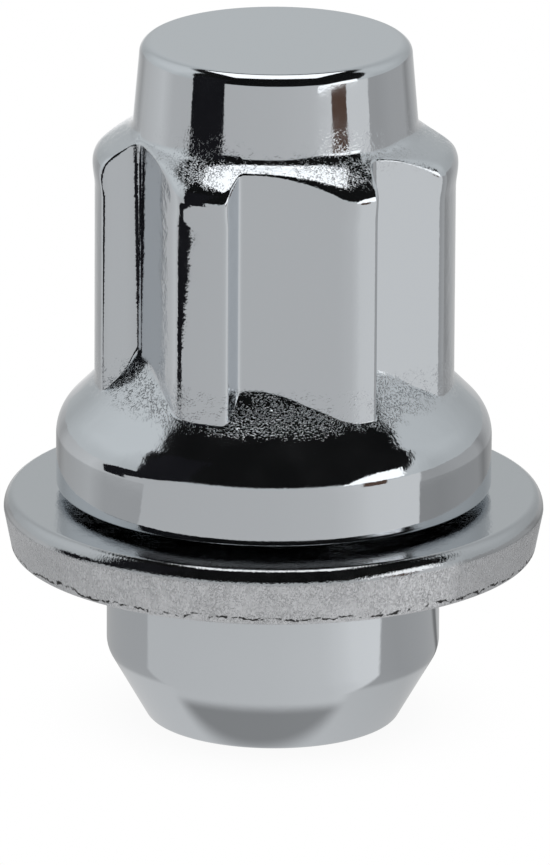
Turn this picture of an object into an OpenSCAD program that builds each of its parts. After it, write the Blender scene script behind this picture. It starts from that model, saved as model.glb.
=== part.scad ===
// Locking wheel nut with a loose captive washer
// The nut stands on its shank end, the stud hole opens downwards and +Z points to the cap.
// Angles round the nut are counted from -Y towards +X.

/* [Cap] */
// Overall height of the nut
overall_h = 46.7; // [40:0.1:56]
// Height of the round cap above the drive section
cap_h = 6; // [3:0.1:9]
// Cap diameter where it meets the drive section
cap_base_d = 19; // [18.8:0.05:19.2]
// Cap diameter at its top, before the edge is rounded
cap_top_d = 18; // [15:0.05:18.6]
// Radius of the rounded edge round the cap's top
cap_edge_r = 0.85; // [0.3:0.05:2]

/* [Drive section] */
// Outer diameter of the ribs
drive_d = 24; // [22.5:0.05:26]
// Height of the sloping shoulder between the ribs and the cap
shoulder_h = 1.45; // [0.8:0.05:3]
// Height at which the slope meets the cap, above the cap's foot in the flutes
shoulder_lift = 0.15; // [0.05:0.05:0.5]
// Radius of the shoulder's rounded outer edge
shoulder_r = 0.7; // [0.3:0.05:1.5]
// Distance from the axis to the flat floor of a deep flute
flute_floor = 9.75; // [9.65:0.05:10]
// Distance from the axis to the flat floor of a shallow flute
shallow_floor = 10.3; // [10:0.05:10.5]
// Depth of the turned core under the deep floors
core_depth = 0.15; // [0.05:0.05:0.25]
// Lean of a deep flute's steep wall from the normal of its floor
flute_wall_lean = 16; // [10:1:24]
// Lean of a shallow flute's steep wall from the normal of its floor
shallow_wall_lean = 22; // [12:1:30]
// Radius in the corner between the floor and the steep wall
flute_root_r = 0.9; // [0.3:0.05:1.1]
// Radius on the rib's edge above the steep wall
rib_tip_r = 0.45; // [0.2:0.05:0.6]
// Radius where a floor runs out softly to the rib
rib_runout_r = 3; // [2:0.1:4]
// Radius where a floor runs out to the rib in a crisper edge
crisp_runout_r = 1.2; // [0.8:0.1:2]

/* [Flange] */
// Diameter of the flange
flange_d = 29.1; // [27.5:0.05:32]
// Height of the flange's upright rim
flange_band_h = 3.5; // [2:0.05:6]
// Radius of the curve from the upright rim to the slope
flange_curve_r = 3.2; // [1:0.05:4]
// Slope of the flange's top, from level
flange_slope = 45; // [35:1:50]
// Radius of the flange's lower edge
flange_edge_r = 0.35; // [0.1:0.05:1]

/* [Neck and shank] */
// Diameter of the shank
shank_d = 22.3; // [21.9:0.05:24]
// Height of the shank from its end face to the washer's underside
shank_h = 11.6; // [9:0.1:16]
// Height of the cone at the shank's end
tip_h = 4.8; // [3:0.1:6.5]
// Diameter of the end face
tip_d = 16.8; // [15.5:0.1:18]
// Radius of the end face's edge
tip_edge_r = 0.5; // [0.1:0.05:1]
// Radius of the curve from the cone to the shank
shank_curve_r = 2; // [0.5:0.1:3]
// Diameter of the neck that the washer turns on
neck_d = 20.9; // [20:0.05:21]

/* [Washer] */
// Diameter at the washer's widest edge
washer_d = 35.9; // [33:0.1:42]
// Diameter at the washer's lower edge
washer_low_d = 34.9; // [32:0.1:41]
// Thickness of the washer
washer_t = 3.9; // [2.5:0.05:5]
// Radial clearance between the washer's hole and the neck
washer_clear = 0.35; // [0.2:0.05:0.45]
// Width of the chamfer on the washer's hole that sits on the shank's lip
seat_chamfer = 0.5; // [0.5:0.05:1]
// Gap between that chamfer and the lip
seat_gap = 0.05; // [0.02:0.01:0.1]
// Axial play of the washer between its ledge and the flange
washer_play = 0.5; // [0.3:0.05:1.5]
// Height of the rounded crown round the washer's top edge
crown_h = 1.15; // [0.3:0.05:1.2]
// Width of the rounded crown
crown_w = 2.2; // [1.2:0.05:2.6]
// Radius of the washer's lower edge
washer_edge_r = 0.4; // [0.1:0.05:0.8]

/* [Stud hole] */
// Nominal diameter of the stud thread, the bore is cut to it
thread_d = 12; // [10:0.5:12.5]
// Depth of the full bore
thread_h = 31; // [20:0.5:33]
// Half angle of the drilled bottom
drill_half_angle = 59; // [45:1:70]
// Mouth diameter of the countersink
sink_d = 13.2; // [12.6:0.1:14.5]

/* [Hidden] */
$fn = 96;

// The flutes in turn, which make the pattern a key. Each row has the angle of the root, the
// angle that the floor faces, whether the flute is shallow, and whether its run-out is crisp
FLUTES = [
    [-68.5, -68.5, false, false],
    [-13, -7, true, false],
    [39, 31.5, false, true],
    [100, 102, false, false],
    [163, 169, true, true],
    [225, 222, false, false]
];
flute_n = len(FLUTES);

cap_base_r = cap_base_d / 2;
cap_top_r = cap_top_d / 2;
drive_r = drive_d / 2;
flange_r = flange_d / 2;
shank_r = shank_d / 2;
neck_r = neck_d / 2;
tip_r = tip_d / 2;
washer_r = washer_d / 2;
washer_low_r = washer_low_d / 2;
bore_r = thread_d / 2;

shoulder_top_z = overall_h - cap_h;
flange_z = shank_h + washer_t + washer_play;
core_r = flute_floor - core_depth;
washer_hole_r = neck_r + washer_clear;
seat_r = washer_hole_r + seat_chamfer;
// The shank's lip is a 45 degree cone under the washer's chamfer
lip_z = shank_h + seat_r - shank_r - seat_gap;
lip_top_z = lip_z + shank_r - neck_r;
// Spare length by which a cut passes a face
over = 1;
// Clearance that keeps the turned shoulder off the ribs' upright faces
turn_clear = 0.03;

// Points of an arc from angle a0 to a1, both counted from +X
function arc(c, r, a0, a1, n = 6) =
    [for (i = [0:n]) c + r * [cos(a0 + (a1 - a0) * i / n), sin(a0 + (a1 - a0) * i / n)]];

// Points of the arc that rounds corner b between its neighbours a and c
function rounded(a, b, c, r, n = 6) =
    let (
        u = (a - b) / norm(a - b),
        w = (c - b) / norm(c - b),
        half = acos(u * w) / 2,
        mid = (u + w) / norm(u + w),
        centre = b + mid * r / sin(half),
        p = b + u * r / tan(half) - centre,
        q = b + w * r / tan(half) - centre,
        start = atan2(p[1], p[0]),
        turn = (atan2(q[1], q[0]) - start + 540) % 360 - 180
    )
    arc(centre, r, start, start + turn, n);

// Outline of one rib edge and flute in the flute's own frame, its floor facing -Y
function flute_points(flute, outer_r) =
    let (
        floor_y = flute[2] ? shallow_floor : flute_floor,
        lean = flute[2] ? shallow_wall_lean : flute_wall_lean,
        out_r = flute[3] ? crisp_runout_r : rib_runout_r,
        root = [-floor_y * tan(flute[1] - flute[0]), -floor_y],
        wall = [-sin(lean), -cos(lean)],
        face = [cos(lean), -sin(lean)],
        // rib edge: tangent to the wall and to the rib's outer circle
        base = root - rib_tip_r * face,
        along = base * wall,
        reach = outer_r - rib_tip_r,
        tip = base + wall * (sqrt(along * along - base * base + reach * reach) - along),
        // root: tangent to the wall and to the floor
        hollow = [root[0] + flute_root_r * (1 - sin(lean)) / cos(lean),
                  -floor_y - flute_root_r],
        // run-out: tangent to the floor and to the rib's outer circle
        drop = floor_y - out_r,
        ring = outer_r - out_r,
        run = [sqrt(ring * ring - drop * drop), -drop]
    )
    concat(
        arc(tip, rib_tip_r, atan2(tip[1], tip[0]), -lean),
        arc(hollow, flute_root_r, 180 - lean, 90),
        arc(run, out_r, -90, atan2(run[1], run[0]))
    );

// Places the points of one flute at its angle round the nut
function turned(points, a) =
    [for (p = points) [p[0] * cos(a) - p[1] * sin(a), p[0] * sin(a) + p[1] * cos(a)]];

// Points of the rib's outer face between the end of one flute and the start of the next
function land(from, to, r, step = 3) =
    let (
        a0 = atan2(from[1], from[0]),
        sweep = (atan2(to[1], to[0]) - a0 + 360) % 360,
        n = max(1, ceil(sweep / step))
    )
    n < 2 ? [] : [for (i = [1:n - 1]) r * [cos(a0 + sweep * i / n), sin(a0 + sweep * i / n)]];

function key_outline() =
    let (placed = [for (f = FLUTES) turned(flute_points(f, drive_r), f[1])])
    [for (i = [0:flute_n - 1])
        let (
            here = placed[i],
            next = placed[(i + 1) % flute_n]
        )
        each concat(here, land(here[len(here) - 1], next[0], drive_r))];

// Half section of the nut without its ribs: shank, neck, flange, core and cap
module turned_section() {
    slope_run = [cos(flange_slope), -sin(flange_slope)];
    band_top = [flange_r, flange_z + flange_band_h + flange_curve_r * tan(flange_slope / 2)];
    slope_top = band_top - slope_run * (flange_r - core_r) / slope_run[0];
    end_edge = [tip_r, 0];
    tip_top = [shank_r, tip_h];
    cap_edge = [cap_top_r, overall_h];
    cap_foot = [cap_base_r, shoulder_top_z];
    polygon(concat(
        [[0, 0]],
        rounded([0, 0], end_edge, tip_top, tip_edge_r),
        rounded(end_edge, tip_top, [shank_r, lip_z], shank_curve_r),
        [[shank_r, lip_z], [neck_r, lip_top_z], [neck_r, flange_z]],
        rounded([neck_r, flange_z], [flange_r, flange_z], band_top, flange_edge_r),
        rounded([flange_r, flange_z], band_top, slope_top, flange_curve_r),
        [slope_top, [core_r, shoulder_top_z], cap_foot],
        rounded(cap_foot, cap_edge, [0, overall_h], cap_edge_r),
        [[0, overall_h]]
    ));
}

// Half section that the ribs are turned to: plain below, sloping at the shoulder
module rib_envelope() {
    outer = drive_r + over;
    meet = [cap_base_r, shoulder_top_z + shoulder_lift];
    edge = [drive_r + turn_clear, shoulder_top_z - shoulder_h];
    // the slope goes on inside the cap
    inner = meet + (meet - edge) * over / (edge[0] - meet[0]);
    below = [edge[0], edge[1] - shoulder_r * 2];
    bottom_z = flange_z + flange_band_h / 2;
    polygon(concat(
        [[0, bottom_z], [outer, bottom_z], [outer, below[1]], below],
        rounded(below, edge, inner, shoulder_r),
        [inner, [0, inner[1]]]
    ));
}

// The ribs and flutes that the key socket grips
module drive_ribs() {
    intersection() {
        translate([0, 0, flange_z])
            linear_extrude(height = overall_h - flange_z)
                polygon(key_outline());
        rotate_extrude()
            rib_envelope();
    }
}

// Blind stud hole with a countersunk mouth and a drilled bottom
module stud_hole() {
    drill_h = bore_r / tan(drill_half_angle);
    sink_r = sink_d / 2;
    sink_h = sink_r - bore_r;
    rotate_extrude()
        polygon([
            [0, -over],
            [sink_r + over, -over],
            [bore_r, sink_h],
            [bore_r, thread_h],
            [0, thread_h + drill_h]
        ]);
}

module nut_body() {
    color([0.72, 0.74, 0.75])
        difference() {
            union() {
                rotate_extrude()
                    turned_section();
                drive_ribs();
            }
            stud_hole();
        }
}

// Loose washer: flat below, its top edge rolled over to a crown, its rim slightly tapered
module washer() {
    top_z = shank_h + washer_t;
    low = [washer_low_r, shank_h];
    edge = [washer_r, top_z - crown_h];
    sweep = 2 * atan(crown_h / crown_w);
    crown_r = crown_w / sin(sweep);
    color([0.66, 0.68, 0.69])
        rotate_extrude()
            polygon(concat(
                [[washer_hole_r, shank_h + seat_chamfer], [seat_r, shank_h]],
                rounded([seat_r, shank_h], low, edge, washer_edge_r, 4),
                arc([washer_r - crown_w, top_z - crown_r], crown_r, 90 - sweep, 90, 8),
                [[washer_hole_r, top_z]]
            ));
}

nut_body();
washer();
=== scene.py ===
"""Looks of the locking wheel nut: its skin, washer, thread, finishes, studio and camera."""

import math

import bpy
import numpy as np
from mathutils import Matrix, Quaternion, Vector

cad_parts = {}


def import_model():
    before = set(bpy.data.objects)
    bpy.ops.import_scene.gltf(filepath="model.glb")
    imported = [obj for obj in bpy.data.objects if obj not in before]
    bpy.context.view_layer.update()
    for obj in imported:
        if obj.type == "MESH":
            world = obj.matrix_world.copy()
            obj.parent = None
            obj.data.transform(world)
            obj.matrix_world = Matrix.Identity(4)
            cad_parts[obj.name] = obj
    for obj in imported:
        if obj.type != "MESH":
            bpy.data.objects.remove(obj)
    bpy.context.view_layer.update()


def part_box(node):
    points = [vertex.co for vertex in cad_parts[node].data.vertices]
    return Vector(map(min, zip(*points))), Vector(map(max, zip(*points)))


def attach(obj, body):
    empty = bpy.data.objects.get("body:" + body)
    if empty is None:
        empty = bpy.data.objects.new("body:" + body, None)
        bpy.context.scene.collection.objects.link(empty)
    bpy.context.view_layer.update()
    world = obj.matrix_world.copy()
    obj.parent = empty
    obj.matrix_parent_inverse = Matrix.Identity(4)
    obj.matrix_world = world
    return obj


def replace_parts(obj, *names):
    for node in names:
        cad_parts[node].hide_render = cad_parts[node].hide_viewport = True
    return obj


# Sizes are in millimetres and angles in degrees, as the part's source has them. A fade is
# where it begins and ends and its two values there, which are 0 and 1 if they aren't given
MM = 0.001

# Cap
CAP_H = 6.0
CAP_BASE_R = 9.5
CAP_TOP_R = 9.0
CAP_EDGE_R = 0.85

# Drive section
DRIVE_R = 12.0
SHOULDER_H = 1.45
SHOULDER_LIFT = 0.15
SHOULDER_SPARE = 0.03
FLUTE_FLOOR = 9.75
SHALLOW_FLOOR = 10.3
FLUTE_WALL_LEAN = 16.0
SHALLOW_WALL_LEAN = 22.0
FLUTE_ROOT_R = 0.9
SHALLOW_ROOT_R = 0.4
RIB_TIP_R = 0.45
RIB_RUNOUT_R = 3.0
CRISP_RUNOUT_R = 1.2
# Each flute's root angle and the angle that its floor faces, both from -Y towards +X,
# whether it is shallow, and whether its run-out is crisp
FLUTES = (
    (-68.5, -68.5, False, False),
    (-13.0, -7.0, True, False),
    (39.0, 31.5, False, True),
    (100.0, 102.0, False, False),
    (163.0, 169.0, True, True),
    (225.0, 222.0, False, False),
)

# Flange
BAND_H = 3.5
FLANGE_CURVE_R = 3.2
FLANGE_SLOPE = 45.0
FLANGE_EDGE_R = 0.35
SLOPE_REACH = 5.0

# Neck and shank
SHANK_R = 11.15
TIP_H = 4.8
TIP_R = 8.4
TIP_EDGE_R = 0.5
SHANK_CURVE_R = 2.0
NECK_R = 10.45

# Washer, whose rim stands WASHER_SPARE past the solid's
WASHER_LOW_R = 17.5
WASHER_SPARE = 0.1
WASHER_PLAY = 0.5
WASHER_CLEAR = 0.35
WASHER_EDGE_R = 0.4
SEAT_CHAMFER = 0.5
SEAT_GAP = 0.05
TOP_EDGE_H = 1.1
TOP_EDGE_W = 0.75
HOLE_EDGE_R = 0.16
# The satin rim ends this share of TOP_EDGE_H below the top
SATIN_DROP = 0.9

# Stud hole and its thread; the fade is counted in turns
BORE_R = 6.0
BORE_H = 31.0
DRILL_HALF_ANGLE = 59.0
SINK_R = 6.6
THREAD_PITCH = 1.5
THREAD_MINOR_R = 5.19
THREAD_CREST_W = 0.35
THREAD_FOOT_W = 1.25
THREAD_BURY = 0.03
THREAD_START = 1.3
THREAD_END = 29.5
THREAD_FADE = 0.75
THREAD_LEAST = 0.02

# The fillet at a flute's foot: its radius in a shallow flute, how much it grows for each
# millimetre of further depth, and its limits
FLUTE_FOOT_R = 0.66
FOOT_GROWTH = 1.05
FOOT_LEAST_R = 0.12
FOOT_MOST_R = 1.1

# The swell of the ribs under the shoulder: how far it stands out, the height over which it
# grows, how near the full radius the outline has to be, and its shape as shares of both
RIB_SWELL = 0.15
RIB_SWELL_H = 1.6
RIB_SWELL_REACH = 1.0
SWELL_SHAPE = ((0.0, 0.0), (0.2, 0.1), (0.4, 0.35), (0.6, 0.65), (0.8, 0.9))

# The rounded edge between wall and shoulder: its limits, and how much it grows for each
# millimetre that the shoulder is wider than RIB_TOP_START
RIB_TOP_R = 0.8
RIB_TOP_LEAST_R = 0.13
RIB_TOP_GROWTH = 0.4
RIB_TOP_START = 0.5

# The hollow at the cap's foot, narrower where its share of the shoulder's width is less
CAP_FOOT_R = 0.5
CAP_FOOT_LEAST_H = 0.3
CAP_FOOT_SHARE = 0.3

# Nearly sharp corners of the turned parts
CRISP_R = 0.08

# How finely the skins are divided: angles between columns, points round the washer's top
# edge and in a turn of the thread, the ring that stands for the axis, and the distance under
# which two rows are one
LAND_STEP = 1.5
WASHER_STEP = 1.25
TOP_EDGE_POINTS = 15
THREAD_TURN = 72
AXIS_R = 0.02
SAME_ROW = 1e-4

# Finishes, in linear colour. A haze is the fade from a noise to the roughness, and the plain
# roughness stands on the shader beneath it
WHITE = (1, 1, 1, 1)
CHROME_COLOUR = (0.66, 0.69, 0.72)
CHROME_ROUGHNESS = 0.05
CHROME_HAZE = (0.3, 0.8, 0.03, 0.09)
CHROME_CLOUD = 2.5
POLISH_COLOUR = (0.54, 0.56, 0.58)
POLISH_ROUGHNESS = 0.07
POLISH_HAZE = (0.3, 0.8, 0.05, 0.12)
POLISH_CLOUD = 1.5
SATIN_COLOUR = (0.70, 0.71, 0.73)
SATIN_ROUGHNESS = 0.38
SATIN_HAZE = (0.3, 0.7, 0.2, 0.32)
STEEL_COLOUR = (0.42, 0.42, 0.41)
STEEL_ROUGHNESS = 0.3
STEEL_HAZE = (0.3, 0.7, 0.22, 0.4)

# Relief of the finishes, each as the size of its features and its depth
CHROME_PEEL = (1.3, 0.020)
CHROME_GRAIN = (0.22, 0.006)
CHROME_SPECKLE = (0.13, 0.042)
POLISH_PEEL = (2.0, 0.03)
POLISH_GRAIN = (0.15, 0.012)
SATIN_STREAKS = (0.35, 0.02)
SATIN_PITS = (0.13, 0.04)
STEEL_MARKS = (0.4, 0.01)

# Chrome plating: the heights at which the forging begins and ceases to show, the relief that
# is left outside them, and the rough zones as low end, high end and softness
FORGED_FROM = (19.5, 21.5)
FORGED_TO = (40.2, 41.4)
SMOOTH_SHARE = 0.2
FEET_ZONE = (23.3, 25.6, 0.8)
SHOULDER_ZONE = (39.6, 42.4, 1.1)
SHOULDER_SHARE = 0.4
# Their speckles: more where the surface looks up, and in clumps
UPWARD_FADE = (0.1, 0.6, 0.4, 1.0)
SPECKLE_FADE = (0.48, 0.72)
CLUMP_SIZE = 0.6
CLUMP_FADE = (0.34, 0.66, 0.2, 1.0)

# The washer's rim: its pits and worn patches, and how the streaks are drawn out upwards
PIT_FADE = (0.45, 0.7)
WORN_SIZE = 1.2
WORN_FADE = (0.3, 0.7, 0.55, 1.0)
STREAK_SCALE = (1.0, 1.0, 0.25)

# The painted shadow line along the washer's lower edge: its height, how far it strays upwards,
# its half width and softness, the size of its waves, its gaps, and its dark colour
SHADOW_LINE_Z = 11.45
SHADOW_LINE_STRAY = 1.2
SHADOW_LINE_HALF_W = 0.07
SHADOW_LINE_SOFT = 0.03
SHADOW_LINE_WAVE_SIZE = 1.6
SHADOW_LINE_GAP_SIZE = 0.9
SHADOW_LINE_GAP_FADE = (0.45, 0.51)
SHADOW_LINE_COLOUR = (0.03, 0.03, 0.03)

# What the chrome sees round it, as azimuth from -Y and brightness: the walls, the bright
# panel on the floor in front and the floor behind the panel
WALL_TONES = (
    (-180, 0.57), (-165, 0.55), (-150, 0.49), (-135, 0.6), (-120, 0.65), (-95, 0.66),
    (-86, 0.6), (-60, 0.57), (60, 0.64), (78, 0.66), (92, 0.55), (106, 0.58), (122, 0.56),
    (137, 0.5), (150, 0.47), (166, 0.52), (180, 0.57),
)
PANEL_TONES = (
    (-180, 0.55), (-60, 0.555), (0, 0.58), (28, 0.61), (40, 0.67), (48, 0.73), (62, 0.75),
    (180, 0.75),
)
BEHIND_TONES = (
    (-180, 1.0), (-173, 1.0), (-164, 0.62), (-155, 0.5), (-145, 0.4), (-135, 0.54),
    (-115, 0.63), (-105, 0.68), (-92, 0.56), (-60, 0.55), (0, 0.5), (90, 0.4), (107, 0.44),
    (127, 0.44), (135, 0.31), (145, 0.44), (160, 0.54), (168, 0.62), (174, 1.0), (180, 1.0),
)
# The same close to the nut, where the shank sees it
NEAR_TONES = (
    (-180, 1.0), (-175, 0.6), (-168, 0.26), (-156, 0.26), (-150, 0.45), (-95, 0.46), (0, 0.5),
    (80, 0.4), (123, 0.45), (127, 0.2), (131, 0.2), (134, 0.48), (164, 0.62), (174, 1.0),
    (180, 1.0),
)

# World: the walls brighten upwards and end under a black ceiling. The black front begins a
# little above the level, and its sides are an azimuth at the level and a lean per degree up
WALL_FADE = (4, 28, 1, 1.14)
CEILING_FADE = (50.0, 55.0, 1.0, 0.0)
FRONT_FADE = (2.0, 6.0, 1.0, 0.0)
FRONT_LEFT = (-64.5, -0.55)
FRONT_RIGHT = (67.0, 0.7)
FRONT_SOFT = 1.5
BLACK = 0.01
STUDIO_COLOUR = (0.96, 0.99, 1.0, 1.0)
SOFT_LIGHT = 0.8

# Floor: half its width and its drop under the nut
FLOOR_HALF = 3000.0
FLOOR_DROP = 0.05
# The shadow under the nut, which the camera sees
CONTACT_REACH = 8.0
CONTACT_FADE = (0.2, 1.0, 0.95, 1.0)
# The panel's straight ends, as their lean and their distance: y + lean * x + distance is 0
PANEL_LEFT = (-0.82, -26.0)
PANEL_BACK = (0.13, 8.5)
PANEL_SOFT = 0.7
# Fades by the distance from the axis: shade round the foot, the panel's near light, the
# light behind the shank, and the change from the near floor to the far one
FOOT_FADE = (10.7, 11.6, 0.47, 1.0)
PANEL_FADE = (30.0, 70.0, 1.12, 1.0)
NEAR_FADE = (12.0, 15.0, 1.36, 1.0)
NEAR_END = (38.0, 44.0)
# A ring of the far floor that is darker
DIM_RING = (45.0, 76.0, 6.0)
DIM = 0.76

# Standing cards: radius, rows of height with start and end azimuth, and tone
CARDS = {
    "left_card": (
        70,
        (
            (5, -91, -77), (10, -91, -77), (16, -91, -58), (20, -84, -50), (24, -69, -40),
            (100, -69, -40),
        ),
        (0.01, 0.01, 0.012),
    ),
    "right_card": (200, ((0, 45.5, 59), (27, 45.5, 59)), (0.10, 0.06, 0.045)),
    "low_card": (210, ((26, 34, 70), (38, 37, 70), (62, 44, 70), (90, 56, 70)), (1.5, 1.5, 1.5)),
}
# Overhead card: its sides in x and in y, its height and its tone
SOFTBOX_X = (-34, 34)
SOFTBOX_Y = (-28, 32)
SOFTBOX_Z = 120
SOFTBOX_TONE = (1.5, 1.5, 1.5)

# Camera, its places in metres
CAMERA_AT = Vector((0.00007, -0.8276, 0.2749))
CAMERA_AIM = Vector((0.00007, 0.0, 0.0195))
CAMERA_ROLL = 0.31
CAMERA_LENS = 539.7
CAMERA_END = 10.0


def arc(centre, r, start, end, n):
    """n + 1 points of an arc between two angles, as rows."""
    a = np.radians(np.linspace(start, end, n + 1))
    return np.array(centre) + r * np.column_stack((np.cos(a), np.sin(a)))


def rounded(a, b, c, r, n):
    """n + 1 points of the arc that rounds corner b between its neighbours a and c."""
    a, b, c = (np.array(p, float) for p in (a, b, c))
    u = (a - b) / np.linalg.norm(a - b)
    w = (c - b) / np.linalg.norm(c - b)
    half = math.acos(u @ w) / 2
    centre = b + (u + w) / np.linalg.norm(u + w) * r / math.sin(half)
    p = b + u * r / math.tan(half) - centre
    q = b + w * r / math.tan(half) - centre
    start = math.degrees(math.atan2(p[1], p[0]))
    turn = math.remainder(math.degrees(math.atan2(q[1], q[0])) - start, 360)
    return arc(centre, r, start, start + turn, n)


def crisp(a, b, c):
    """Points of a nearly sharp corner b between its neighbours a and c."""
    return rounded(a, b, c, CRISP_R, n=2)


def between(a, b, n):
    """n points strictly between a and b."""
    t = np.linspace(0, 1, n + 2)[1:-1, None]
    return np.array(a) * (1 - t) + np.array(b) * t


def flute_points(root_at, faces, shallow, crisp_end):
    """Angles and radii of one rib edge and flute, the angles counted from -Y."""
    floor = SHALLOW_FLOOR if shallow else FLUTE_FLOOR
    lean_deg = SHALLOW_WALL_LEAN if shallow else FLUTE_WALL_LEAN
    root_r = SHALLOW_ROOT_R if shallow else FLUTE_ROOT_R
    out_r = CRISP_RUNOUT_R if crisp_end else RIB_RUNOUT_R
    lean = math.radians(lean_deg)
    # drawn with the floor facing -Y, and turned to its place at the end
    root = np.array((-floor * math.tan(math.radians(faces - root_at)), -floor))
    wall = np.array((-math.sin(lean), -math.cos(lean)))
    face = np.array((math.cos(lean), -math.sin(lean)))
    base = root - RIB_TIP_R * face
    along = base @ wall
    reach = DRIVE_R - RIB_TIP_R
    tip = base + wall * (math.sqrt(along**2 - base @ base + reach**2) - along)
    hollow_x = root[0] + root_r * (1 - math.sin(lean)) / math.cos(lean)
    drop = floor - out_r
    run = (math.sqrt((DRIVE_R - out_r) ** 2 - drop**2), -drop)
    tip_angle = math.degrees(math.atan2(tip[1], tip[0]))
    run_angle = math.degrees(math.atan2(run[1], run[0]))
    edge = arc(tip, RIB_TIP_R, tip_angle, -lean_deg, n=8)
    inner = arc((hollow_x, -floor - root_r), root_r, 180 - lean_deg, 90, n=8)
    out = arc(run, out_r, -90, run_angle, n=9)
    wall_points, floor_points = between(edge[-1], inner[0], n=4), between(inner[-1], out[0], n=12)
    x, y = np.vstack((edge, wall_points, inner, floor_points, out)).T
    return np.unwrap(np.arctan2(y, x)) + math.radians(faces), np.hypot(x, y)


def key_outline():
    """Angles and radii of the ribs' and flutes' outline all round, rising angles."""
    flutes = [flute_points(*flute) for flute in FLUTES]
    angles, outline = [], []
    for i, (here, radii) in enumerate(flutes):
        start, end = here[-1], flutes[(i + 1) % len(flutes)][0][0]
        end += 2 * math.pi * math.ceil((start - end) / (2 * math.pi))
        n = max(1, math.ceil(math.degrees(end - start) / LAND_STEP))
        land = np.linspace(start, end, n + 1)[1:-1]
        angles.extend((here, land))
        outline.extend((radii, np.full(len(land), DRIVE_R)))
    return np.concatenate(angles), np.concatenate(outline)


def lower_profile(flange_r, flange_z, shank_top):
    """The turned surface from the drilled bottom of the stud hole to the flange's slope."""
    drill_top = (AXIS_R, BORE_H + BORE_R / math.tan(math.radians(DRILL_HALF_ANGLE)))
    bore_top, bore_low, sink = (BORE_R, BORE_H), (BORE_R, SINK_R - BORE_R), (SINK_R, 0)
    end_edge, tip_top = (TIP_R, 0), (SHANK_R, TIP_H)
    hole_r = NECK_R + WASHER_CLEAR
    lip = (SHANK_R, shank_top + hole_r + SEAT_CHAMFER - SHANK_R - SEAT_GAP)
    lip_top = (NECK_R, lip[1] + SHANK_R - NECK_R)
    neck_top, flange_low = (NECK_R, flange_z), (flange_r, flange_z)
    slope = math.radians(FLANGE_SLOPE)
    band_end = (flange_r, flange_z + BAND_H)
    band_top = (flange_r, band_end[1] + FLANGE_CURVE_R * math.tan(slope / 2))
    slope_in = (
        band_top[0] - SLOPE_REACH * math.cos(slope),
        band_top[1] + SLOPE_REACH * math.sin(slope),
    )
    parts = [
        [drill_top],
        between(drill_top, bore_top, n=3),
        crisp(drill_top, bore_top, bore_low),
        between(bore_top, bore_low, n=6),
        crisp(bore_top, bore_low, sink),
        crisp(bore_low, sink, end_edge),
        rounded(sink, end_edge, tip_top, TIP_EDGE_R, n=6),
        # the roundings on both sides take up the ends of the cone and of the shank's side
        between(end_edge, tip_top, n=4)[1:3],
        rounded(end_edge, tip_top, lip, SHANK_CURVE_R, n=8),
        between(tip_top, lip, n=5)[2:],
        crisp(tip_top, lip, lip_top),
        crisp(lip, lip_top, neck_top),
        crisp(lip_top, neck_top, flange_low),
        rounded(neck_top, flange_low, band_top, FLANGE_EDGE_R, n=6),
        between(flange_low, band_end, n=4),
        rounded(flange_low, band_top, slope_in, FLANGE_CURVE_R, n=16),
    ]
    rows = np.vstack(parts)
    return rows[np.r_[True, np.linalg.norm(np.diff(rows, axis=0), axis=1) > SAME_ROW]]


def corner(a, b, c, n):
    """Rows of the soft corner from a to c with its point at b, all arrays over the columns."""
    t = np.linspace(0, 1, n + 1)[:, None]
    mixed = [(1 - t) ** 2 * p + 2 * t * (1 - t) * q + t**2 * s for p, q, s in zip(a, b, c)]
    return np.stack(mixed, axis=-1)


def straight(a, b, n):
    """n rows strictly between a and b, arrays over the columns."""
    t = np.linspace(0, 1, n + 2)[1:-1, None]
    return np.stack([(1 - t) * p + t * q for p, q in zip(a, b)], axis=-1)


def upper_rows(key, slope_start, top_z):
    """Rows from the flange's slope over flutes, ribs and shoulder to the cap's centre."""
    one = np.ones_like(key)
    meet = (CAP_BASE_R, top_z - CAP_H + SHOULDER_LIFT)
    shoulder_fall = (SHOULDER_LIFT + SHOULDER_H) / (DRIVE_R + SHOULDER_SPARE - CAP_BASE_R)
    flange_fall = math.tan(math.radians(FLANGE_SLOPE))

    def flange_z(rho):
        return slope_start[1] + (slope_start[0] - rho) * flange_fall

    def shoulder_z(rho):
        return meet[1] - (rho - meet[0]) * shoulder_fall

    foot = FLUTE_FOOT_R - (key - SHALLOW_FLOOR) * FOOT_GROWTH
    foot = np.clip(foot, FOOT_LEAST_R, FOOT_MOST_R)
    fillet_in = (key + foot, flange_z(key + foot))
    fillet_out = (key, flange_z(key) + foot)
    fullness = np.clip(1 - (DRIVE_R - key) / RIB_SWELL_REACH, 0, 1)
    lip = key + RIB_SWELL * fullness**2
    ledge = lip - CAP_BASE_R
    soft = np.clip((ledge - RIB_TOP_START) * RIB_TOP_GROWTH, RIB_TOP_LEAST_R, RIB_TOP_R)
    wall_top_z = shoulder_z(lip) - soft
    climb, bulge = np.array(SWELL_SHAPE).T[..., None]
    swell_r = key * (1 - bulge) + lip * bulge
    swell_z = wall_top_z - RIB_SWELL_H * (1 - climb)
    shoulder_in = (lip - soft, shoulder_z(lip - soft))
    nook = np.minimum(ledge * CAP_FOOT_SHARE, CAP_FOOT_R)
    nook_in = (meet[0] + nook, shoulder_z(meet[0] + nook))
    lean = (CAP_BASE_R - CAP_TOP_R) / CAP_H
    rise = np.maximum(nook, CAP_FOOT_LEAST_H)
    nook_out = (meet[0] - lean * rise, meet[1] + rise)
    return np.concatenate(
        (
            straight((slope_start[0] * one, slope_start[1] * one), fillet_in, n=5),
            corner(fillet_in, (key, flange_z(key)), fillet_out, n=7),
            straight(fillet_out, (key, swell_z[0]), n=7),
            np.stack((swell_r, swell_z), axis=-1),
            corner((lip, wall_top_z), (lip, shoulder_z(lip)), shoulder_in, n=7),
            straight(shoulder_in, nook_in, n=7),
            corner(nook_in, (meet[0] * one, meet[1] * one), nook_out, n=5),
            cap_rows(nook_out, top_z, one),
        )
    )


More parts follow.
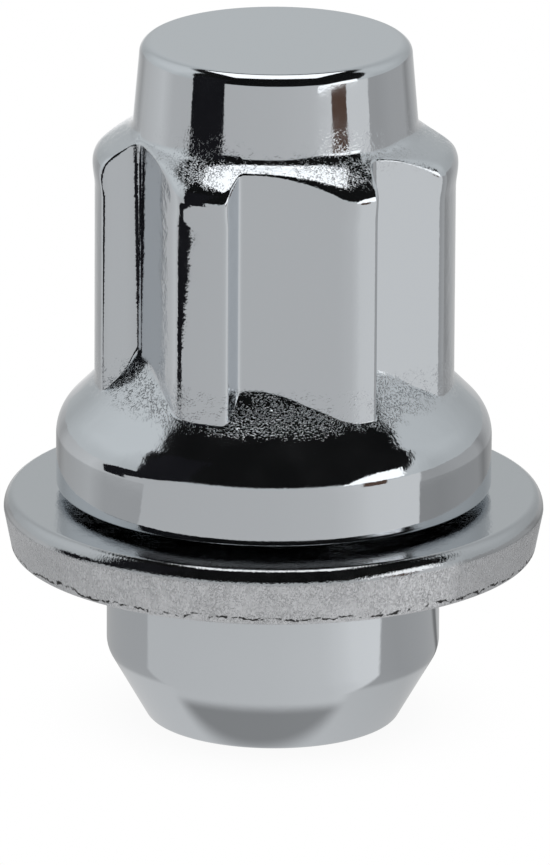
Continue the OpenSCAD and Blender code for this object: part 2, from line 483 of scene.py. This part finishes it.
def cap_rows(wall_low, top_z, one):
    """Rows of the cap's wall, rounded edge and flat top, down to a small ring at the axis."""
    low, high, centre = (CAP_BASE_R, top_z - CAP_H), (CAP_TOP_R, top_z), (0, top_z)
    middle = (AXIS_R, top_z)
    edge = rounded(low, high, centre, CAP_EDGE_R, n=9)
    rest = np.vstack((edge, between(edge[-1], middle, n=5), [middle]))
    rest = rest[:, None, :] * np.ones((1, len(one), 1))
    wall_high = (edge[0][0] * one, edge[0][1] * one)
    return np.concatenate((straight(wall_low, wall_high, n=5), rest))


def smooth_normals(co, quads):
    """Area-weighted normals, so that narrow bevels leave the wide faces flat."""
    a, b, c, d = (co[quads[:, i]] for i in range(4))
    face = np.cross(c - a, d - b)
    normals = np.zeros_like(co)
    for i in range(4):
        np.add.at(normals, quads[:, i], face)
    lengths = np.linalg.norm(normals, axis=1, keepdims=True)
    return normals / np.where(lengths > 0, lengths, 1)


def turned_mesh(name, angles, rows, closed=False):
    """Mesh of rows (radius and height over the columns) turned to their angles, in mm."""
    n_rows, n_cols = rows.shape[:2]
    x = rows[..., 0] * np.cos(angles)
    y = rows[..., 0] * np.sin(angles)
    co = np.stack((x, y, rows[..., 1]), axis=-1).reshape(-1, 3) * MM
    row = np.arange(n_rows if closed else n_rows - 1)[:, None]
    col = np.arange(n_cols)[None, :]
    up, side = (row + 1) % n_rows, (col + 1) % n_cols
    corners = [row * n_cols + col, row * n_cols + side, up * n_cols + side, up * n_cols + col]
    quads = np.stack(corners, axis=-1).reshape(-1, 4)
    faces = quads.tolist()
    if not closed:
        # one face over each end
        faces.append(list(range(n_cols))[::-1])
        faces.append([(n_rows - 1) * n_cols + i for i in range(n_cols)])
    return smooth_object(name, co, faces, smooth_normals(co, quads))


def new_object(name, data):
    """Object of this mesh or camera in the scene."""
    obj = bpy.data.objects.new(name, data)
    bpy.context.scene.collection.objects.link(obj)
    return obj


def new_mesh(name, points, faces):
    """Mesh of these points, in metres, and faces."""
    mesh = bpy.data.meshes.new(name)
    mesh.from_pydata(points, [], faces)
    return mesh


def smooth_object(name, co, faces, normals):
    """Smooth-shaded object of these points and faces with its own normals."""
    mesh = new_mesh(name, co.tolist(), faces)
    mesh.shade_smooth()
    mesh.normals_split_custom_set_from_vertices(normals.tolist())
    return new_object(name, mesh)


def face_places(obj):
    """Radius and height of every face's centre, in mm."""
    mesh = obj.data
    centres = np.zeros(len(mesh.polygons) * 3)
    mesh.polygons.foreach_get("center", centres)
    centres = centres.reshape(-1, 3) / MM
    return np.hypot(centres[:, 0], centres[:, 1]), centres[:, 2]


def paint(obj, materials, index):
    """Gives obj these materials, index being the one of each face."""
    for material in materials:
        obj.data.materials.append(material)
    obj.data.polygons.foreach_set("material_index", np.array(index, np.int32))


def make_nut(chrome, bare_steel):
    """The nut's whole skin in one mesh, from the stud hole to the top of the cap."""
    _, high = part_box("nut_body")
    washer_low, washer_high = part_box("washer")
    angles, key = key_outline()
    flange_z = washer_high.z / MM + WASHER_PLAY
    lower = lower_profile(high.x / MM, flange_z, washer_low.z / MM)
    upper = upper_rows(key, lower[-1], high.z / MM)
    rows = np.concatenate((lower[:, None, :] * np.ones((1, len(key), 1)), upper))
    nut = turned_mesh("nut_skin", angles, rows)
    radius, height = face_places(nut)
    in_hole = (radius < SINK_R) & (height < high.z / MM - CAP_H)
    paint(nut, [chrome, bare_steel], in_hole)
    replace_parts(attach(nut, "nut"), "nut_body")
    return nut


def make_washer(polished, satin):
    """The loose washer: flat top with a small rolled edge, tapered satin rim, chamfered hole."""
    low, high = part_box("washer")
    low_z, top_z, rim_r = low.z / MM, high.z / MM, high.x / MM + WASHER_SPARE
    hole_r = NECK_R + WASHER_CLEAR
    hole_low, hole_top = (hole_r, low_z + SEAT_CHAMFER), (hole_r, top_z)
    seat = (hole_r + SEAT_CHAMFER, low_z)
    rim_low, rim_top = (WASHER_LOW_R, low_z), (rim_r, top_z - TOP_EDGE_H)
    turn = np.radians(np.linspace(0, 90, TOP_EDGE_POINTS))
    edge_r = rim_r - TOP_EDGE_W * (1 - np.cos(turn))
    edge_z = top_z - TOP_EDGE_H * (1 - np.sin(turn))
    edge = np.column_stack((edge_r, edge_z))
    parts = [
        crisp(hole_top, hole_low, seat),
        crisp(hole_low, seat, rim_low),
        between(seat, rim_low, n=3),
        rounded(seat, rim_low, rim_top, WASHER_EDGE_R, n=6),
        between(rim_low, rim_top, n=6)[1:],
        edge,
        between(edge[-1], hole_top, n=3),
        rounded(edge[-1], hole_top, hole_low, HOLE_EDGE_R, n=3),
    ]
    profile = np.vstack(parts)
    angles = np.radians(np.arange(0, 360, WASHER_STEP))
    rows = profile[:, None, :] * np.ones((1, len(angles), 1))
    washer = turned_mesh("washer_skin", angles, rows, closed=True)
    radius, height = face_places(washer)
    rim = (radius > WASHER_LOW_R - WASHER_EDGE_R) & (height < top_z - TOP_EDGE_H * SATIN_DROP)
    paint(washer, [polished, satin], rim)
    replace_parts(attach(washer, "washer"), "washer")
    return washer


def make_thread(bare_steel):
    """The right-hand thread's ridge in the stud hole, fading out at both ends."""
    turns = (THREAD_END - THREAD_START) / THREAD_PITCH
    n = round(turns * THREAD_TURN)
    t = np.linspace(0, turns, n + 1)
    full = np.clip(np.minimum(t, turns - t) / THREAD_FADE, THREAD_LEAST, 1)
    foot_r = np.full(n + 1, BORE_R + THREAD_BURY)
    crest_r = foot_r - (foot_r - THREAD_MINOR_R) * full
    angle = 2 * math.pi * t
    z = THREAD_START + THREAD_PITCH * t
    section = (
        (foot_r, -THREAD_FOOT_W / 2),
        (crest_r, -THREAD_CREST_W / 2),
        (crest_r, THREAD_CREST_W / 2),
        (foot_r, THREAD_FOOT_W / 2),
    )
    lines = [
        np.stack((r * np.cos(angle), r * np.sin(angle), z + dz), axis=-1) for r, dz in section
    ]
    co = np.stack(lines, axis=1).reshape(-1, 3) * MM
    faces = []
    for a in range(0, 4 * n, 4):
        b = a + 4
        faces.extend([[a + j, a + (j + 1) % 4, b + (j + 1) % 4, b + j] for j in range(4)])
    faces.append([3, 2, 1, 0])
    faces.append([4 * n + j for j in range(4)])
    mesh = new_mesh("stud_thread", co.tolist(), faces)
    thread = new_object("stud_thread", mesh)
    mesh.materials.append(bare_steel)
    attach(thread, "nut")
    return thread


def mm(*values):
    """These sizes in metres."""
    return [value * MM for value in values]


def feed(tree, socket, value):
    """Links the socket to value where that is an output, and else sets it to value."""
    if isinstance(value, bpy.types.NodeSocket):
        tree.links.new(value, socket)
    else:
        socket.default_value = value


def node(tree, kind, **inputs):
    """A new node with these socket values; sockets are named with underscores for spaces."""
    made = tree.nodes.new("ShaderNode" + kind)
    for name, value in inputs.items():
        feed(tree, made.inputs[name.replace("_", " ")], value)
    return made


def calc(tree, operation, *values):
    """Output of a Math node for these values or sockets."""
    made = tree.nodes.new("ShaderNodeMath")
    made.operation = operation
    for socket, value in zip(made.inputs, values):
        feed(tree, socket, value)
    return made.outputs[0]


def times(tree, product, *factors):
    """Product of all these values or sockets."""
    for factor in factors:
        product = calc(tree, "MULTIPLY", product, factor)
    return product


def step(tree, value, low, high, start=0.0, end=1.0):
    """Smooth step of value from start at low to end at high."""
    made = tree.nodes.new("ShaderNodeMapRange")
    made.interpolation_type = "SMOOTHSTEP"
    for socket, v in zip(made.inputs, (value, low, high, start, end)):
        feed(tree, socket, v)
    return made.outputs[0]


def inside(tree, value, low, high, soft):
    """1 between low and high, falling to 0 within soft on both sides."""
    rise = step(tree, value, low - soft, low + soft)
    fall = step(tree, value, high - soft, high + soft, 1.0, 0.0)
    return times(tree, rise, fall)


def mix(tree, factor, first, second):
    """Value between first and second by the factor."""
    return calc(tree, "ADD", times(tree, factor, calc(tree, "SUBTRACT", second, first)), first)


def mix_colours(tree, factor, first, second):
    """Colour between first and second by the factor."""
    made = tree.nodes.new("ShaderNodeMix")
    made.data_type = "RGBA"
    sockets = {socket.identifier: socket for socket in made.inputs}
    feed(tree, sockets["Factor_Float"], factor)
    feed(tree, sockets["A_Color"], (*first, 1))
    feed(tree, sockets["B_Color"], (*second, 1))
    return {socket.identifier: socket for socket in made.outputs}["Result_Color"]


def mix_shaders(tree, factor, first, second):
    """Shader between first and second by the factor."""
    made = node(tree, "MixShader", Fac=factor)
    tree.links.new(first, made.inputs[1])
    tree.links.new(second, made.inputs[2])
    return made.outputs[0]


def parts_of(tree, vector):
    """The x, y and z outputs of a vector."""
    return node(tree, "SeparateXYZ", Vector=vector).outputs


def noise(tree, place, size, detail=2.0, roughness=0.5):
    """Noise whose features are about size across."""
    scale = 1 / (size * MM)
    made = node(tree, "TexNoise", Vector=place, Scale=scale, Detail=detail, Roughness=roughness)
    return made.outputs["Fac"]


def bump(tree, height, depth, under=None):
    """Normal of a height field whose full range is depth, over the relief under it."""
    made = node(tree, "Bump", Height=height, Strength=1.0, Distance=depth * MM)
    if under is not None:
        tree.links.new(under, made.inputs["Normal"])
    return made.outputs["Normal"]


def new_metal(name, colour, roughness):
    """A metal of this colour: its material, node tree, shader and object coordinates."""
    material = bpy.data.materials.new(name)
    material.use_nodes = True
    tree = material.node_tree
    shader = tree.nodes["Principled BSDF"]
    shader.inputs["Base Color"].default_value = (*colour, 1)
    shader.inputs["Metallic"].default_value = 1.0
    shader.inputs["Roughness"].default_value = roughness
    place = tree.nodes.new("ShaderNodeTexCoord").outputs["Object"]
    return material, tree, shader, place


def finish_metal(tree, shader, normal, cloud, haze):
    """Gives the shader its relief and the roughness that follows the cloud."""
    tree.links.new(normal, shader.inputs["Normal"])
    tree.links.new(step(tree, cloud, *haze), shader.inputs["Roughness"])


def chrome_plating():
    """Bright chrome over a forging: smooth on the cap and band, finely uneven elsewhere."""
    material, tree, shader, place = new_metal("chrome_plating", CHROME_COLOUR, CHROME_ROUGHNESS)
    height = parts_of(tree, place)["Z"]
    above_band = step(tree, height, *mm(*FORGED_FROM))
    below_cap = step(tree, height, *mm(*FORGED_TO), 1.0, 0.0)
    forged = times(tree, above_band, below_cap)
    rough = calc(tree, "MULTIPLY_ADD", forged, 1 - SMOOTH_SHARE, SMOOTH_SHARE)
    # rough spots at the flutes' feet and on the shoulder
    feet = inside(tree, height, *mm(*FEET_ZONE))
    shoulder = inside(tree, height, *mm(*SHOULDER_ZONE))
    spots = calc(tree, "MAXIMUM", feet, times(tree, shoulder, SHOULDER_SHARE))
    normal = tree.nodes.new("ShaderNodeTexCoord").outputs["Normal"]
    upward = step(tree, parts_of(tree, normal)["Z"], *UPWARD_FADE)
    clumps = step(tree, noise(tree, place, CLUMP_SIZE, detail=1.0), *CLUMP_FADE)
    size, depth = CHROME_SPECKLE
    dots = step(tree, noise(tree, place, size), *SPECKLE_FADE)
    speckle = bump(tree, times(tree, dots, times(tree, spots, upward, clumps)), depth)
    size, depth = CHROME_GRAIN
    grain = bump(tree, times(tree, noise(tree, place, size), rough), depth, speckle)
    size, depth = CHROME_PEEL
    peel = bump(tree, times(tree, noise(tree, place, size, detail=1.0), rough), depth, grain)
    finish_metal(tree, shader, peel, noise(tree, place, CHROME_CLOUD, detail=3.0), CHROME_HAZE)
    return material


def washer_polish():
    """Chrome over the washer's stamped top, faintly uneven."""
    material, tree, shader, place = new_metal("washer_polish", POLISH_COLOUR, POLISH_ROUGHNESS)
    size, depth = POLISH_GRAIN
    grain = bump(tree, noise(tree, place, size), depth)
    size, depth = POLISH_PEEL
    peel = bump(tree, noise(tree, place, size, detail=1.0), depth, grain)
    finish_metal(tree, shader, peel, noise(tree, place, POLISH_CLOUD, detail=3.0), POLISH_HAZE)
    return material


def washer_satin():
    """The washer's cut rim: satin chrome with pits, upright streaks and a painted shadow line."""
    material, tree, shader, place = new_metal("washer_satin", SATIN_COLOUR, SATIN_ROUGHNESS)
    size, depth = SATIN_PITS
    speckle = noise(tree, place, size, detail=3.0, roughness=0.7)
    worn = step(tree, noise(tree, place, WORN_SIZE, detail=1.0), *WORN_FADE)
    pits = bump(tree, times(tree, step(tree, speckle, *PIT_FADE), worn), depth)
    size, depth = SATIN_STREAKS
    upright = node(tree, "Mapping", Vector=place, Scale=STREAK_SCALE).outputs["Vector"]
    streaks = noise(tree, upright, size, detail=3.0, roughness=0.6)
    relief = bump(tree, streaks, depth, pits)
    finish_metal(tree, shader, relief, streaks, SATIN_HAZE)
    # painted shadow: a dark broken line mixed into the rim's colour along its lower edge
    shadow_line = mix_colours(tree, painted_shadow_line(tree, place), SATIN_COLOUR, SHADOW_LINE_COLOUR)
    tree.links.new(shadow_line, shader.inputs["Base Color"])
    return material


def painted_shadow_line(tree, place):
    """A broken line of painted shadow along the washer's lower edge, straying upwards here and
    there.
    """
    wave = noise(tree, place, SHADOW_LINE_WAVE_SIZE, detail=3.0, roughness=0.7)
    line_z = calc(tree, "ADD", times(tree, wave, SHADOW_LINE_STRAY * MM), SHADOW_LINE_Z * MM)
    level = calc(tree, "SUBTRACT", parts_of(tree, place)["Z"], line_z)
    line = inside(tree, level, *mm(-SHADOW_LINE_HALF_W, SHADOW_LINE_HALF_W, SHADOW_LINE_SOFT))
    gaps = noise(tree, place, SHADOW_LINE_GAP_SIZE, detail=3.0, roughness=0.7)
    return times(tree, line, step(tree, gaps, *SHADOW_LINE_GAP_FADE))


def bore_steel():
    """Cut steel of the stud hole and its thread, thinly plated."""
    material, tree, shader, place = new_metal("bore_steel", STEEL_COLOUR, STEEL_ROUGHNESS)
    size, depth = STEEL_MARKS
    marks = noise(tree, place, size, detail=3.0)
    finish_metal(tree, shader, bump(tree, marks, depth), marks, STEEL_HAZE)
    return material


def azimuth_of(tree, x, y):
    """Angle in radians from -Y towards +X."""
    return calc(tree, "ARCTAN2", x, times(tree, y, -1.0))


def tones(tree, x, y, stops):
    """Brightness by azimuth round the nut, from stops of azimuth and brightness."""
    turn = calc(tree, "MULTIPLY_ADD", azimuth_of(tree, x, y), 0.5 / math.pi, 0.5)
    ramp = node(tree, "ValToRGB", Fac=turn)
    elements = ramp.color_ramp.elements
    while len(elements) < len(stops):
        elements.new(0.5)
    for element, (degrees, tone) in zip(elements, stops):
        element.position = degrees / 360 + 0.5
        element.color = (tone, tone, tone, 1)
    return ramp.outputs["Color"]


def studio_world():
    """White to the camera; to the chrome, light walls round a black front and ceiling."""
    world = bpy.data.worlds.new("studio")
    world.use_nodes = True
    bpy.context.scene.world = world
    tree = world.node_tree
    tree.nodes.clear()
    x, y, z = parts_of(tree, tree.nodes.new("ShaderNodeTexCoord").outputs["Generated"])
    level = calc(tree, "SQRT", calc(tree, "ADD", times(tree, x, x), times(tree, y, y)))
    rise = times(tree, calc(tree, "ARCTAN2", z, level), 180 / math.pi)
    azimuth = times(tree, azimuth_of(tree, x, y), 180 / math.pi)
    walls = times(tree, tones(tree, x, y, WALL_TONES), step(tree, rise, *WALL_FADE))
    # the black front widens upwards
    at, lean = FRONT_RIGHT
    past_right = calc(tree, "SUBTRACT", azimuth, calc(tree, "MULTIPLY_ADD", rise, lean, at))
    at, lean = FRONT_LEFT
    past_left = calc(tree, "SUBTRACT", calc(tree, "MULTIPLY_ADD", rise, lean, at), azimuth)
    sides = [step(tree, past, -FRONT_SOFT, FRONT_SOFT) for past in (past_right, past_left)]
    lit = calc(tree, "MAXIMUM", calc(tree, "MAXIMUM", *sides), step(tree, rise, *FRONT_FADE))
    lit = times(tree, lit, step(tree, rise, *CEILING_FADE))
    light = times(tree, walls, mix(tree, lit, BLACK, 1.0))
    studio = node(tree, "Background", Strength=light, Color=STUDIO_COLOUR).outputs[0]
    plain = node(tree, "Background", Strength=SOFT_LIGHT, Color=WHITE).outputs[0]
    white = node(tree, "Background", Strength=1.0, Color=WHITE).outputs[0]
    path = tree.nodes.new("ShaderNodeLightPath").outputs
    others = mix_shaders(tree, path["Is Glossy Ray"], plain, studio)
    shown = mix_shaders(tree, path["Is Camera Ray"], others, white)
    node(tree, "OutputWorld", Surface=shown)


def floor_greys(tree, x, y, away):
    """Brightness of the floor as the chrome sees it, away being the distance from the axis."""
    # the panel ends along two straight edges, one to the left and one under the nut
    ends = []
    for lean, distance in (PANEL_LEFT, PANEL_BACK):
        offset = calc(tree, "ADD", y, distance * MM)
        ends.append(calc(tree, "MULTIPLY_ADD", x, lean, offset))
    behind = step(tree, calc(tree, "MAXIMUM", *ends), -PANEL_SOFT * MM, PANEL_SOFT * MM)

    def fade(low, high, start, end):
        return step(tree, away, low * MM, high * MM, start, end)

    gain = times(tree, fade(*FOOT_FADE), fade(*PANEL_FADE))
    panel = times(tree, tones(tree, x, y, PANEL_TONES), gain)
    dim = mix(tree, inside(tree, away, *mm(*DIM_RING)), 1.0, DIM)
    distant = times(tree, tones(tree, x, y, BEHIND_TONES), dim)
    close = times(tree, tones(tree, x, y, NEAR_TONES), fade(*NEAR_FADE))
    back = mix(tree, fade(*NEAR_END, 0.0, 1.0), close, distant)
    return mix(tree, behind, panel, back)


def make_floor():
    """White floor with the nut's contact shadow; the chrome sees it in greys."""
    half = FLOOR_HALF * MM
    corners = [(-half, -half, 0), (half, -half, 0), (half, half, 0), (-half, half, 0)]
    mesh = new_mesh("floor", corners, [(0, 1, 2, 3)])
    floor = new_object("floor", mesh)
    floor.location.z = -FLOOR_DROP * MM
    material = bpy.data.materials.new("floor_white")
    material.use_nodes = True
    tree = material.node_tree
    tree.nodes.clear()
    place = tree.nodes.new("ShaderNodeTexCoord").outputs["Object"]
    x, y, _ = parts_of(tree, place)
    distance = node(tree, "VectorMath", Vector=place)
    distance.operation = "LENGTH"
    seen = floor_greys(tree, x, y, distance.outputs["Value"])
    contact = node(tree, "AmbientOcclusion", Distance=CONTACT_REACH * MM).outputs["AO"]
    shown = step(tree, contact, *CONTACT_FADE)
    camera_ray = tree.nodes.new("ShaderNodeLightPath").outputs["Is Camera Ray"]
    strength = mix(tree, camera_ray, seen, shown)
    lit = node(tree, "Emission", Strength=strength, Color=WHITE).outputs[0]
    # from below the floor isn't there
    clear = tree.nodes.new("ShaderNodeBsdfTransparent").outputs[0]
    from_below = tree.nodes.new("ShaderNodeNewGeometry").outputs["Backfacing"]
    node(tree, "OutputMaterial", Surface=mix_shaders(tree, from_below, lit, clear))
    mesh.materials.append(material)


def card_object(name, mesh, tone):
    """A glowing or dark card that only the chrome sees."""
    card = new_object(name, mesh)
    material = bpy.data.materials.new(name)
    material.use_nodes = True
    tree = material.node_tree
    tree.nodes.clear()
    glow = node(tree, "Emission", Strength=1.0, Color=(*tone, 1)).outputs[0]
    node(tree, "OutputMaterial", Surface=glow)
    mesh.materials.append(material)
    card.visible_camera = False
    card.visible_diffuse = False
    card.visible_shadow = False
    card.visible_transmission = False


def make_card(name, radius, rows, tone, n=12):
    """A card standing round the nut, n faces wide, of rows of height, start and end azimuth."""
    points = []
    for height, start, end in rows:
        a = np.radians(np.linspace(start, end, n + 1))
        points.extend(mm(radius * math.sin(b), -radius * math.cos(b), height) for b in a)
    faces = []
    for base in range(0, (len(rows) - 1) * (n + 1), n + 1):
        above = base + n + 1
        faces.extend((base + i, base + i + 1, above + i + 1, above + i) for i in range(n))
    card_object(name, new_mesh(name, points, faces), tone)


def make_overhead(name, x, y, z, tone):
    """A level card over the nut between two x and two y."""
    corners = [(x[0], y[0]), (x[1], y[0]), (x[1], y[1]), (x[0], y[1])]
    points = [mm(*corner_at, z) for corner_at in corners]
    card_object(name, new_mesh(name, points, [(0, 1, 2, 3)]), tone)


def make_camera():
    """The photograph's viewpoint."""
    data = bpy.data.cameras.new("camera")
    camera = new_object("camera", data)
    bpy.context.scene.camera = camera
    camera.location = CAMERA_AT
    camera.rotation_mode = "QUATERNION"
    look = (CAMERA_AIM - CAMERA_AT).to_track_quat("-Z", "Y")
    camera.rotation_quaternion = look @ Quaternion((0, 0, 1), math.radians(CAMERA_ROLL))
    data.lens = CAMERA_LENS
    data.clip_end = CAMERA_END


def main():
    """The dressed part, its studio and its camera."""
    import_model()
    bpy.context.scene.view_settings.view_transform = "Standard"
    steel = bore_steel()
    make_nut(chrome_plating(), steel)
    make_washer(washer_polish(), washer_satin())
    make_thread(steel)
    studio_world()
    make_floor()
    for name, (radius, rows, tone) in CARDS.items():
        make_card(name, radius, rows, tone)
    make_overhead("softbox", SOFTBOX_X, SOFTBOX_Y, SOFTBOX_Z, SOFTBOX_TONE)
    make_camera()


main()
